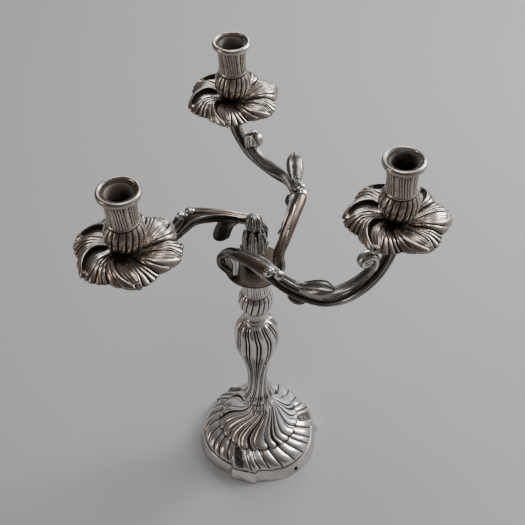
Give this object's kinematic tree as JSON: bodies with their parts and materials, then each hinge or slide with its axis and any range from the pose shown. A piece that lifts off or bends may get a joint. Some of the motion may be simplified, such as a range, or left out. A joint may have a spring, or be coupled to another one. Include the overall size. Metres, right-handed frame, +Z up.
{
  "type": "candelabrum",
  "caption": "Scrolled branched candelabrum on a swirl-fluted baluster candlestick, with scalloped drip pans under gadrooned candle cups and a lift-out branch unit.",
  "frame": {"origin": "centre of the foot's underside, on the candlestick's vertical axis, at the height of the surface it stands on", "axes": "+Z up along the candlestick's axis; +Y towards the back arm's cup; the other two arms stand at 210 and 330 degrees from +X"},
  "size_m": [0.3287, 0.2979, 0.465],
  "materials": {
    "bright_silver": "aged silver plate on cast brass, rubbed bright on the high spots, dark tarnish in the grooves",
    "dark_silver": "heavily tarnished silver plate, gunmetal with brown patches",
    "brown_patina": "matt brown-black patina",
    "spigot_brass": "plain turned brass, dull",
    "iron_fittings": "plain iron, lightly oxidised",
    "felt": "dark green wool felt"
  },
  "bodies": {
    "candlestick": {"foot_shell": "bright_silver", "foot_plate": "iron_fittings", "felt_pad": "felt", "baluster_stem": "bright_silver", "stem_collar": "bright_silver", "socket_bulb": "bright_silver", "socket_neck": "bright_silver", "tie_rod": "iron_fittings", "tie_washer": "iron_fittings", "tie_nut": "iron_fittings"},
    "spigot": {"branch_spigot": "spigot_brass"},
    "branch": {"branch_disc": "brown_patina", "centre_screw": "iron_fittings", "finial_bud": "dark_silver", "finial_cap": "dark_silver", "arm_back": "dark_silver", "arm_left": "dark_silver", "arm_right": "dark_silver", "cup_stud_back": "iron_fittings", "cup_stud_left": "iron_fittings", "cup_stud_right": "iron_fittings"},
    "cup_back": {"drip_pan_back": "bright_silver", "cup_bulb_back": "bright_silver", "cup_neck_back": "bright_silver"},
    "cup_left": {"drip_pan_left": "bright_silver", "cup_bulb_left": "bright_silver", "cup_neck_left": "bright_silver"},
    "cup_right": {"drip_pan_right": "bright_silver", "cup_bulb_right": "bright_silver", "cup_neck_right": "bright_silver"}
  },
  "joints": [
    {"name": "branch_lift", "type": "slide", "parent": "candlestick", "child": "spigot", "axis": [0, 0, 1], "range_m": [0, 0.04]},
    {"name": "branch_turn", "type": "hinge", "parent": "spigot", "child": "branch", "pos_m": [0, 0, 0.29], "axis": [0, 0, 1], "continuous": true},
    {"name": "cup_turn_back", "type": "hinge", "parent": "branch", "child": "cup_back", "pos_m": [0, 0.1354, 0.402], "axis": [0, 0, 1], "continuous": true},
    {"name": "cup_turn_left", "type": "hinge", "parent": "branch", "child": "cup_left", "pos_m": [-0.11726, -0.0677, 0.402], "axis": [0, 0, 1], "continuous": true},
    {"name": "cup_turn_right", "type": "hinge", "parent": "branch", "child": "cup_right", "pos_m": [0.11726, -0.0677, 0.402], "axis": [0, 0, 1], "continuous": true}
  ]
}
